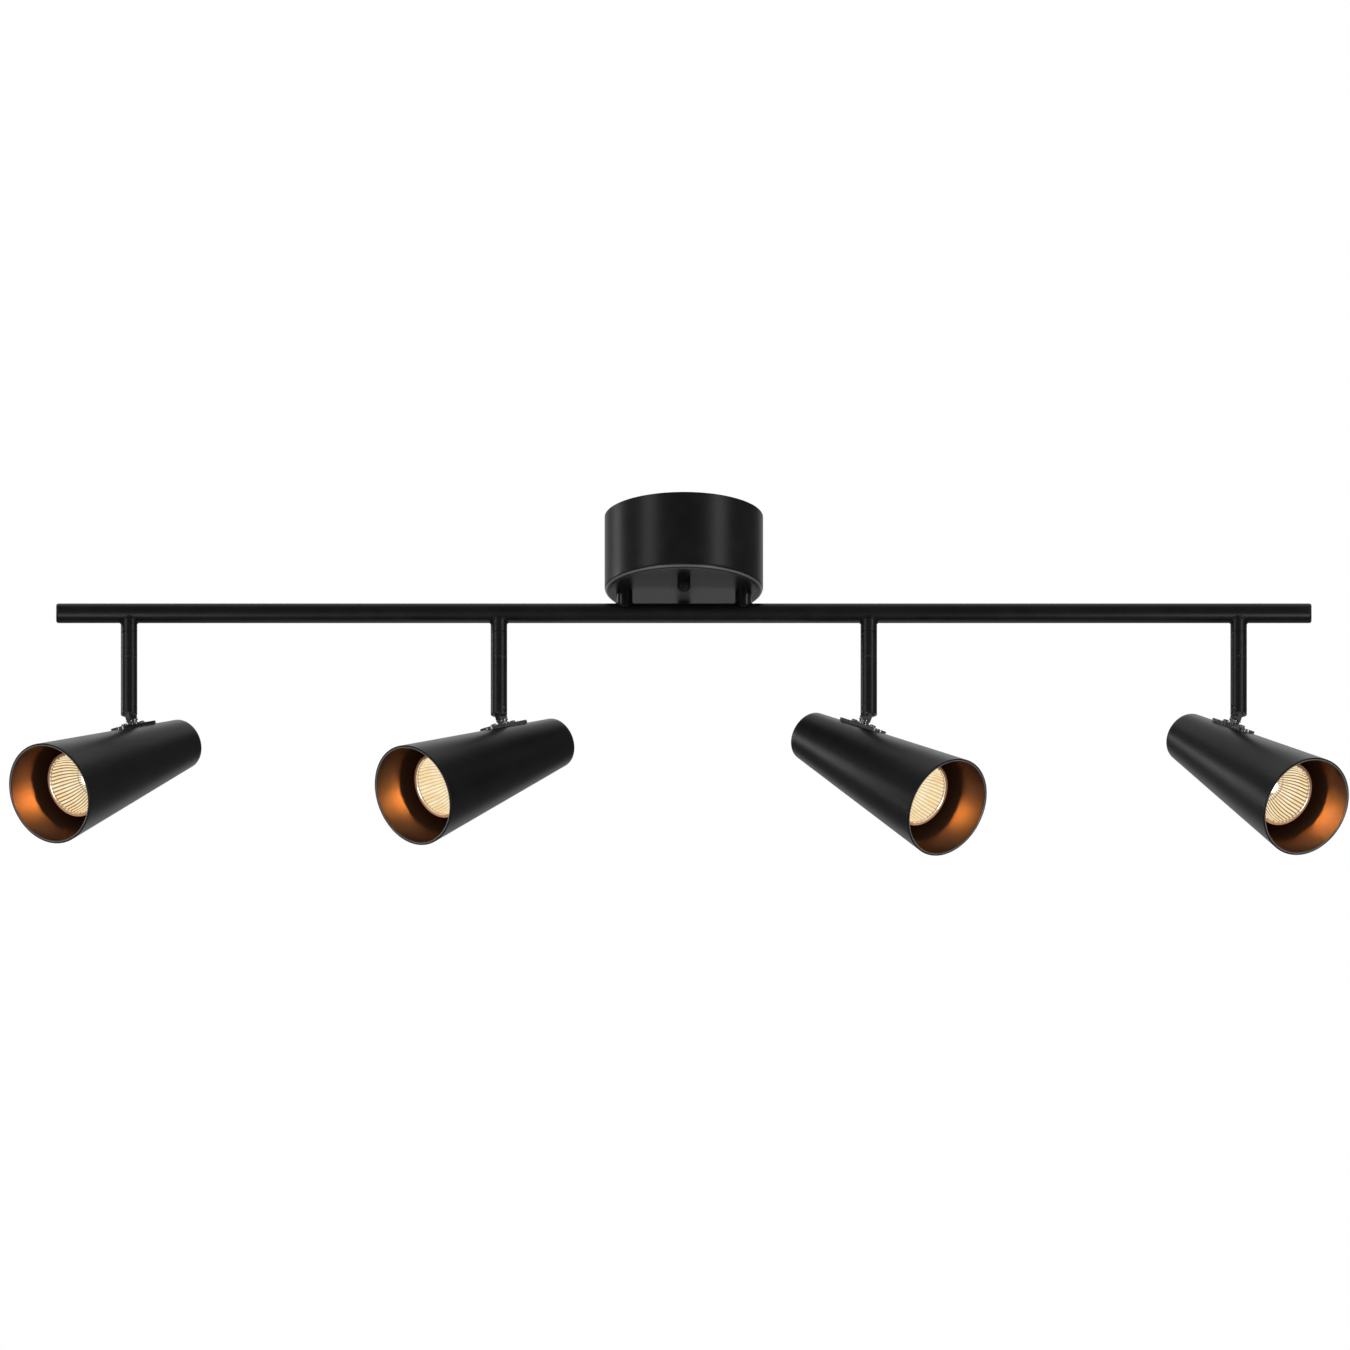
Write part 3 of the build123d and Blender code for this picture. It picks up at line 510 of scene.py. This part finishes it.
def turned(shape, corners, roundings, segments, steps, flute=None):
    """A skin turned about z through (radius, height) corners, up the outside first."""
    count = len(corners)
    line = shape.add("GeometryNodeCurvePrimitiveLine", {}, {"End": (0, 0, 1)})
    line = shape.add("GeometryNodeResampleCurve", {}, {"Curve": line, "Count": count})
    index = shape.add("GeometryNodeInputIndex")
    spots = {n + 1: shape.point(r, 0.0, h) for n, (r, h) in enumerate(corners)}
    spots[0] = index
    where = shape.add(
        "GeometryNodeIndexSwitch", {"data_type": "VECTOR", "choices": count}, spots
    )
    radii = {n + 1: rounding for n, rounding in enumerate(roundings)}
    radii[0] = index
    ease = shape.add("GeometryNodeIndexSwitch", {"data_type": "FLOAT", "choices": count}, radii)
    profile = shape.add("GeometryNodeFilletCurve", {"mode": "POLY"}, {
        "Curve": shape.at(line, where), "Count": steps, "Radius": ease, "Limit Radius": True,
    })
    points = shape.add("GeometryNodeAttributeDomainSize", {"component": "CURVE"}, {0: profile})
    grid = shape.add("GeometryNodeMeshGrid", {}, {
        "Vertices X": segments + 1, "Vertices Y": points,
    })
    column = ((index + 0.5) / points).maths("FLOOR")
    sample = shape.add("GeometryNodeSampleIndex", {"data_type": "FLOAT_VECTOR"}, {
        "Geometry": profile, "Value": shape.add("GeometryNodeInputPosition"),
        "Index": index - column * points,
    })
    radius, _, height = shape.parts(sample)
    angle = column * tau / segments
    if flute:
        radius = flute(angle, radius, height)
    place = shape.point(radius * angle.maths("COSINE"), radius * angle.maths("SINE"), height)
    skin = shape.add("GeometryNodeMergeByDistance", {}, {
        "Geometry": shape.at(grid, place), "Distance": weld,
    })
    skin = shape.add("GeometryNodeSetShadeSmooth", {"domain": "FACE"}, {0: skin})
    bend = shape.add("GeometryNodeInputMeshEdgeAngle") > crease
    skin = shape.add("GeometryNodeSetShadeSmooth", {"domain": "EDGE"}, {
        "Geometry": skin, "Selection": bend, "Shade Smooth": False,
    })
    return shape.add("GeometryNodeStoreNamedAttribute", {"data_type": "FLOAT_VECTOR"}, {
        "Geometry": skin, "Name": "turned", "Value": shape.add("GeometryNodeInputPosition"),
    })


spun = Finish("spun_shade_coat")
on_cone = spun.add("ShaderNodeAttribute", {"attribute_name": "turned"}, {}, "Vector")
up, side, along = spun.parts(on_cone)
off_axis = (up * up + side * side).maths("SQRT")
depth = tail_radius + cone_slope * along - off_axis
inside = depth.ease(0.0007, 0.0010) * along.ease(0.0005, shade_wall)
on_front = along.ease(shade_length - 0.0004, shade_length - 0.0002)
# a pale highlight painted along the inner edge of the hem
hem_highlight = on_front * depth.ease(0.0011, 0.0013) * (1.0 - depth.ease(hem_depth - 0.0002, hem_depth))
peel = spun.noise(850.0, 2.0)
cloud = spun.noise(48.0, 3.0)
spinning = spun.noise(1.0, 2.0, spun.add("ShaderNodeCombineXYZ", {}, {2: along * 900.0}))
deep, faded = (0.0075, 0.0075, 0.0078, 1), (0.0135, 0.0132, 0.0132, 1)
outer = spun.blend(cloud.ease(0.3, 0.75), deep, faded)
inner = spun.blend(cloud, (0.005, 0.0045, 0.004, 1), (0.009, 0.0075, 0.0065, 1))
tone = spun.blend(inside, outer, inner)
tone = spun.blend(hem_highlight, tone, (0.48, 0.47, 0.46, 1))

# painted light on the inner wall, standing in for stray lamp light: a faint
# spill ahead of the lamp, brightest below, and a fainter glow beside it
spill_start = lamp_face + 0.008
spill_full = lamp_face + 0.016
spill_glow = 0.008
side_spill_glow = 0.006
lower = 0.5 - 0.5 * up / off_axis
fade = 1.0 - 0.45 * along.ease(spill_full, shade_length)
spill = along.ease(spill_start, spill_full) * fade * (0.25 + 0.75 * lower)
side_spill = along.ease(lamp_face - 0.034, lamp_face - 0.006)
stray = (spill * spill_glow + side_spill * side_spill_glow) * inside * (1.0 - hem_highlight)
warm = spun.blend(stray, (0, 0, 0, 1), (1.0, 0.22, 0.025, 1))
values = {"Base Color": tone, "Emission Color": warm, "Emission Strength": 1.0}
values["Roughness"] = 0.33 + 0.07 * cloud + 0.01 * inside
values["Metallic"] = 0.3 * hem_highlight
values["Normal"] = spun.relief(peel + 0.5 * spinning, 0.00005, 0.22)
spun_coat = spun.close(values)

cone = Shape("spun_cone", {
    "Front Radius": front_radius, "Tail Radius": tail_radius, "Length": shade_length,
    "Wall": shade_wall, "Tail Rounding": 0.003, "Lip Rounding": 0.0003,
    "Hem Depth": hem_depth, "Hem Length": hem_length,
    "Segments": lathe_segments, "Finish": spun_coat,
})
size = cone.size
slope = (size["Front Radius"] - size["Tail Radius"]) / size["Length"]
across_wall = size["Wall"] * (1 + slope * slope) ** 0.5
tail_flat = size["Tail Radius"] - 0.006
straight_from = 2.0 * size["Tail Rounding"]
hem_back = size["Length"] - size["Hem Length"]


def cone_corner(height, depth=0.0):
    """A corner on the cone at a height above its tail, or as deep as its inner wall."""
    return (size["Tail Radius"] + slope * height - depth, height)


corners = [
    (0.0, 0.0),
    (tail_flat, 0.0),
    cone_corner(0.0),
    cone_corner(straight_from),
    cone_corner(size["Length"] - 0.0015),
    cone_corner(size["Length"]),
    cone_corner(size["Length"], size["Hem Depth"]),
    cone_corner(hem_back, size["Hem Depth"]),
    cone_corner(hem_back - 0.4 * size["Hem Length"], across_wall),
    cone_corner(straight_from, across_wall),
    cone_corner(size["Wall"], across_wall),
    (tail_flat, size["Wall"]),
    (0.0, size["Wall"]),
]
rounding = size["Tail Rounding"]
easing = size["Lip Rounding"]
hem = [easing, easing, easing, 0.0]
roundings = [0.0, 0.0, rounding, 0.0, 0.0] + hem + [0.0, 0.6 * rounding, 0.0, 0.0]
skin = turned(cone, corners, roundings, size["Segments"], 7)
cone.end(cone.dressed(skin, size["Finish"]))

tilts = {joint["child"]: joint for joint in frame["joints"] if joint["name"].startswith("tilt")}


def shade_frame(number):
    """The place of a shade: z runs from the middle of its tail to its mouth, and x is up."""
    tilt = tilts[f"head_{number}"]
    pin = Vector(tilt["pos_m"])
    pin_axis = Vector(tilt["axis"]).normalized()
    upright = Vector((0, 0, 1))
    facing = pin_axis.cross(upright)
    angle = -radians(tilt["range_deg"][0])
    along = facing * cos(angle) - upright * sin(angle)
    over = facing * sin(angle) + upright * cos(angle)
    tail = pin - axis_below_pin * over - pin_from_tail * along
    turn = Matrix((over, -pin_axis, along)).transposed().to_4x4()
    return Matrix.Translation(tail) @ turn


for number in range(1, 5):
    shade = cone.make(f"spun_shade_{number}", {}, shade_frame(number))
    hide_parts(f"shade_{number}")
    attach(shade, f"head_{number}")


# ---------------------------------------------------- lampholders and brackets
# A strip of plated steel inside each shade takes the knuckle's thread and the
# plate screws, and holds the glazed porcelain lampholder by its back.
glaze = Finish("glazed_porcelain")
fleck = glaze.noise(1400.0, 2.0).ease(0.66, 0.74)
body = glaze.blend(glaze.noise(120.0, 3.0), (0.80, 0.78, 0.72, 1), (0.88, 0.87, 0.83, 1))
values = {"Base Color": glaze.blend(fleck * 0.6, body, (0.42, 0.36, 0.28, 1))}
values["Roughness"] = 0.16 + 0.16 * glaze.noise(260.0, 3.0)
values["Normal"] = glaze.relief(glaze.noise(500.0, 2.0), 0.00008, 0.25)
porcelain = glaze.close(values)
for number in range(1, 5):
    coat(turned_zinc, f"lampholder_bracket_{number}")
    coat(porcelain, f"lampholder_{number}")


# ---------------------------------------------------------------- reflector lamps
# Each lamp is a bowl of pressed glass with 48 flutes, silvered inside, on a
# cemented base with two bayonet pins.  A front glass closes its rim, and the
# quartz capsule inside it lights the inner wall of its own shade.
flutes = 48
lamp_radius = 0.025
rings_per_metre = 420.0
rim_length = 0.003
lens_seat = lamp_face - rim_length
throat_height = 0.1036
capsule_tip = 0.1205

silver = Finish("silvered_flutes")
on_bowl = silver.add("ShaderNodeAttribute", {"attribute_name": "turned"}, {}, "Vector")
up, side, along = silver.parts(on_bowl)
off_axis = (up * up + side * side).maths("SQRT")
turn = side.maths("ARCTAN2", up) / tau * flutes + 0.5
flute_edge = (turn.maths("FRACT") - 0.5).maths("ABSOLUTE")
ribs = (2.0 * flute_edge).ease(0.45, 0.85)
ring_edge = ((off_axis * rings_per_metre).maths("FRACT") - 0.5).maths("ABSOLUTE")
rings = (2.0 * ring_edge).ease(0.62, 0.95) * (1.0 - off_axis.ease(0.0135, 0.0175))
ribbing = silver.add("ShaderNodeAttribute", {"attribute_name": "ribbing"}, {}, "Fac")
along_flutes = silver.add("ShaderNodeCombineXYZ", {}, {0: turn * 0.5, 2: along * 90.0})
streak = silver.noise(1.0, 2.0, along_flutes)
cream = silver.blend(streak.ease(0.3, 0.75), (0.98, 0.72, 0.38, 1), (1.0, 0.90, 0.64, 1))
cream = silver.blend(1.0 - off_axis.ease(0.0065, 0.0165), cream, (1.0, 0.98, 0.90, 1))
shadow = ribs.maths("MAXIMUM", rings * 0.8) * ribbing * off_axis.ease(0.0078, 0.0115)
light = silver.blend(shadow, cream, (0.13, 0.048, 0.010, 1))
values = {"Base Color": (0.02, 0.018, 0.015, 1), "Roughness": 0.22 + 0.1 * streak}
values["Emission Color"] = light
values["Emission Strength"] = 1.0
values["Normal"] = silver.relief(streak, 0.00005, 0.2)
silvered_flutes = silver.close(values)

pressed = Finish("pressed_glass")
on_glass = pressed.add("ShaderNodeAttribute", {"attribute_name": "turned"}, {}, "Vector")
up, side, along = pressed.parts(on_glass)
# the glass glows dull red, turning paler and peach toward its rim; the rim's glow is painted light,
# brighter on its lower side
toward_rim = along.ease(lamp_face - 0.014, lamp_face - 0.001)
ream = pressed.noise(260.0, 2.0)
peach = pressed.blend(ream, (0.52, 0.24, 0.11, 1), (0.78, 0.46, 0.26, 1))
dull_red = pressed.blend(ream, (0.030, 0.010, 0.004, 1), (0.045, 0.014, 0.006, 1))
lower = 0.5 - 0.5 * up / lamp_radius
values = {"Base Color": pressed.blend(toward_rim, (0.03, 0.02, 0.016, 1), (0.16, 0.11, 0.085, 1))}
rim_light = toward_rim * (0.25 + 0.55 * lower.ease(0.0, 1.0))
values["Emission Color"] = pressed.blend(rim_light, dull_red, peach)
values["Emission Strength"] = 0.8
values["Roughness"] = 0.12 + 0.08 * ream
values["Coat Weight"] = 1.0
values["Normal"] = pressed.relief(ream, 0.0001, 0.25)
pressed_glass = pressed.close(values)

quartz = Finish("lit_quartz_capsule")
hot = quartz.noise(500.0, 2.0)
values = {"Base Color": (0.8, 0.8, 0.8, 1), "Roughness": 0.1 + 0.05 * hot}
values["Emission Color"] = quartz.blend(hot, (1.0, 0.90, 0.68, 1), (1.0, 0.98, 0.90, 1))
values["Emission Strength"] = 3.0
lit_quartz = quartz.close(values)

lamp = Shape("reflector_lamp", {
    "Face": lamp_face, "Radius": lamp_radius, "Rim Length": rim_length, "Glass": 0.0016,
    "Base Radius": 0.010, "Base Back": 0.088, "Base Front": 0.102, "Throat Radius": 0.006,
    "Lens Radius": 0.0232, "Flute Depth": 0.00035, "Capsule Tip": capsule_tip, "Ribbing": 1.0,
    "Flutes": flutes, "Pressed": pressed_glass, "Silver": silvered_flutes,
    "Ceramic": porcelain, "Plated": turned_zinc, "Quartz": lit_quartz,
})
size = lamp.size
rim_back = size["Face"] - size["Rim Length"]
throat = size["Base Front"] + size["Glass"]
seat_radius = size["Lens Radius"] + 0.00005
envelope = turned(lamp, [
    (size["Throat Radius"] + 0.0009, throat),
    (size["Base Radius"], size["Base Front"]),
    (size["Radius"] - 0.0030, size["Base Front"] + 0.0072),
    (size["Radius"], rim_back),
    (size["Radius"], size["Face"]),
    (seat_radius, size["Face"]),
    (seat_radius, rim_back),
    (size["Lens Radius"] - 0.0024, throat + 0.0066),
    (size["Throat Radius"] + 0.0009, throat),
], [0.0, 0.0, 0.024, 0.0004, 0.0005, 0.0004, 0.0, 0.022, 0.0], 4 * size["Flutes"], 9)


def fluted(angle, radius, height):
    """Presses a flute between each two ridges of the bowl."""
    wave = (angle * size["Flutes"]).maths("COSINE")
    return radius - size["Flute Depth"] * (0.5 - 0.5 * wave) * height.ease(throat_height, lens_seat)


mirror = turned(lamp, [
    (size["Throat Radius"] + 0.0003, throat + 0.0002),
    (size["Lens Radius"] - 0.0027, throat + 0.0070),
    (size["Lens Radius"] - 0.0004, rim_back - 0.0001),
    (size["Lens Radius"] - 0.0008, rim_back - 0.0001),
    (size["Lens Radius"] - 0.0031, throat + 0.0073),
    (size["Throat Radius"], throat + 0.0006),
    (size["Throat Radius"] + 0.0003, throat + 0.0002),
], [0.0, 0.026, 0.0, 0.0, 0.026, 0.0, 0.0], 4 * size["Flutes"], 14, fluted)
mirror = lamp.add("GeometryNodeStoreNamedAttribute", {"data_type": "FLOAT"}, {
    "Geometry": mirror, "Name": "ribbing", "Value": size["Ribbing"],
})
base = turned(lamp, [
    (0.0, size["Base Back"]),
    (size["Base Radius"], size["Base Back"]),
    (size["Base Radius"], throat - 0.0002),
    (size["Throat Radius"] + 0.0002, throat - 0.0002),
    (size["Throat Radius"] + 0.0002, size["Base Front"]),
    (0.0, size["Base Front"]),
], [0.0, 0.0008, 0.0006, 0.0, 0.0, 0.0], 48, 4)
bayonet = turned(lamp, [
    (0.0, size["Base Back"] - 0.007),
    (0.0024, size["Base Back"] - 0.007),
    (0.0024, size["Base Back"] - 0.0047),
    (0.0013, size["Base Back"] - 0.0047),
    (0.0013, size["Base Back"] + 0.0005),
    (0.0, size["Base Back"] + 0.0005),
], [0.0, 0.0005, 0.0004, 0.0, 0.0, 0.0], 24, 3)
bayonets = lamp.row(bayonet, 2, (0, -0.005, 0), (0, 0.010, 0))
capsule = turned(lamp, [
    (0.0, size["Base Front"] + 0.0002),
    (0.0034, size["Base Front"] + 0.0002),
    (0.0045, size["Base Front"] + 0.006),
    (0.0045, size["Capsule Tip"] - 0.0010),
    (0.0, size["Capsule Tip"]),
], [0.0, 0.0008, 0.002, 0.0034, 0.0], 32, 6)
lamp.end(lamp.add("GeometryNodeJoinGeometry", {}, {0: [
    lamp.dressed(envelope, size["Pressed"]),
    lamp.dressed(mirror, size["Silver"]),
    lamp.dressed(base, size["Ceramic"]),
    lamp.dressed(bayonets, size["Plated"]),
    lamp.dressed(capsule, size["Quartz"]),
]}))

front = Finish("front_glass")
wave = front.noise(90.0, 2.0)
front_glass = front.close({
    "Base Color": front.blend(wave, (1.0, 0.96, 0.90, 1), (1.0, 0.99, 0.96, 1)),
    "Roughness": 0.01 + 0.02 * wave, "Transmission Weight": 1.0, "IOR": 1.45,
    "Normal": front.relief(wave, 0.00005, 0.1),
})

# how plainly the flutes of each lamp show
lamp_ribbing = {1: 1.0, 2: 0.42, 3: 0.45, 4: 1.0}
glow_size = 0.008
glow_colour = (1.0, 0.27, 0.035)
glow_radiance = 340.0
glow_place = Matrix.Translation((0, 0, capsule_tip + 0.0006)) @ Matrix.Rotation(pi, 4, "X")
for number in range(1, 5):
    place = shade_frame(number)
    reflector = lamp.make(f"reflector_lamp_{number}", {"Ribbing": lamp_ribbing[number]}, place)
    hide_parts(f"bulb_reflector_{number}")
    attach(reflector, f"head_{number}")
    coat(front_glass, f"bulb_lens_{number}")
    glow = bpy.data.lights.new(f"lamp_glow_{number}", "AREA")
    glow.shape = "DISK"
    glow.size = glow_size
    glow.color = glow_colour
    glow.energy = glow_radiance * pi * pi * (0.5 * glow_size) ** 2
    # its gleam on the shade would otherwise be lost behind the front glass
    glow.cycles.use_multiple_importance_sampling = False
    beam = bpy.data.objects.new(f"lamp_glow_{number}", glow)
    bpy.context.scene.collection.objects.link(beam)
    beam.matrix_world = place @ glow_place
    beam.visible_camera = False
    lit = bpy.data.collections.new(f"lit_by_lamp_{number}")
    lit.objects.link(bpy.data.objects[f"spun_shade_{number}"])
    shading = bpy.data.collections.new(f"in_front_of_lamp_{number}")
    shading.objects.link(reflector)
    beam.light_linking.receiver_collection = lit
    beam.light_linking.blocker_collection = shading
    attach(beam, f"head_{number}")


# --------------------------------------------------------------------- studio
# A plain pale floor far below, white air all round, and soft boxes at both
# sides, above, below and behind.  The camera looks up at the bar from in front.
scene = bpy.context.scene
scene.view_settings.view_transform = "Standard"
air = bpy.data.worlds.new("studio_air")
air.use_nodes = True
air.node_tree.nodes.clear()
room = Tree(air.node_tree)
white = room.add("ShaderNodeBackground", {}, {"Color": (1, 1, 1, 1), "Strength": 1.0})
dim = room.add("ShaderNodeBackground", {}, {"Color": (1, 1, 1, 1), "Strength": 0.11})
seen = room.add("ShaderNodeLightPath", output="Is Camera Ray")
room.add("ShaderNodeOutputWorld", {}, {
    "Surface": room.add("ShaderNodeMixShader", {}, {0: seen, 1: dim, 2: white}),
})
scene.world = air

camera_rise = radians(18.6)
aim = Vector((-0.0067, 0.0, -0.1261))
frame_width = 1.022
camera_distance = 3.0
camera = bpy.data.cameras.new("camera")
camera.type = "ORTHO"
camera.ortho_scale = frame_width
viewpoint = bpy.data.objects.new("camera", camera)
viewpoint.location = aim - camera_distance * Vector((0, cos(camera_rise), sin(camera_rise)))
viewpoint.rotation_euler = (pi / 2 + camera_rise, 0, 0)
scene.collection.objects.link(viewpoint)
scene.camera = viewpoint

paper = Finish("pale_floor")
fibre = paper.noise(3.0, 3.0)
floor_drop = 9.5
floor_reach = 50
floor_corners = [
    (side * floor_reach, end * floor_reach, -floor_drop)
    for side, end in ((-1, -1), (1, -1), (1, 1), (-1, 1))
]
ground = bpy.data.meshes.new("floor")
ground.from_pydata(floor_corners, [], [(0, 1, 2, 3)])
ground.materials.append(paper.close({
    "Base Color": (0, 0, 0, 1), "Specular IOR Level": 0.0, "Roughness": 1.0,
    "Emission Color": paper.blend(fibre, (0.92, 0.92, 0.92, 1), (0.95, 0.95, 0.95, 1)),
    "Emission Strength": 1.0,
}))
floor = bpy.data.objects.new("floor", ground)
scene.collection.objects.link(floor)
floor.visible_diffuse = False
floor.visible_glossy = False


def soft_box(name, place, aim, width, height, brightness):
    """A soft box of even brightness that faces its aim."""
    light = bpy.data.lights.new(name, "AREA")
    light.shape = "RECTANGLE"
    light.size = width
    light.size_y = height
    light.energy = brightness * pi * width * height
    box = bpy.data.objects.new(name, light)
    box.location = place
    box.rotation_euler = (Vector(aim) - Vector(place)).to_track_quat("-Z", "Y").to_euler()
    box.visible_camera = False
    scene.collection.objects.link(box)


middle = (0.0, 0.0, -0.12)
soft_box("side_box_left", (-2.36, -1.85, 1.0), middle, 0.9, 1.6, 1.7)
soft_box("side_box_right", (2.36, -1.85, 1.0), middle, 0.9, 1.6, 2.0)
soft_box("low_box_left", (-0.64, -0.72, -0.74), (-0.64, 0.0, -0.08), 0.45, 0.35, 3.0)
soft_box("low_box_right", (0.64, -0.72, -0.74), (0.64, 0.0, -0.08), 0.45, 0.35, 3.4)
soft_box("under_box", (0.0, 0.8, -1.0), (0.0, 0.0, -0.08), 0.6, 0.9, 0.7)
soft_box("back_panel", (0.0, 6.0, 0.85), middle, 8.0, 5.7, 0.45)
soft_box("top_back_box", (0.0, 3.2, 3.2), middle, 6.0, 1.8, 1.0)
soft_box("top_box", (0.0, 0.4, 3.2), middle, 6.0, 2.4, 0.40)
soft_box("far_box_left", (-1.85, 0.72, 0.34), (0.3, 0.0, -0.2), 0.5, 0.55, 3.8)
soft_box("glint_strip", (-0.75, -2.6, -0.9), (0.0, 0.0, -0.16), 0.10, 0.5, 6.0)
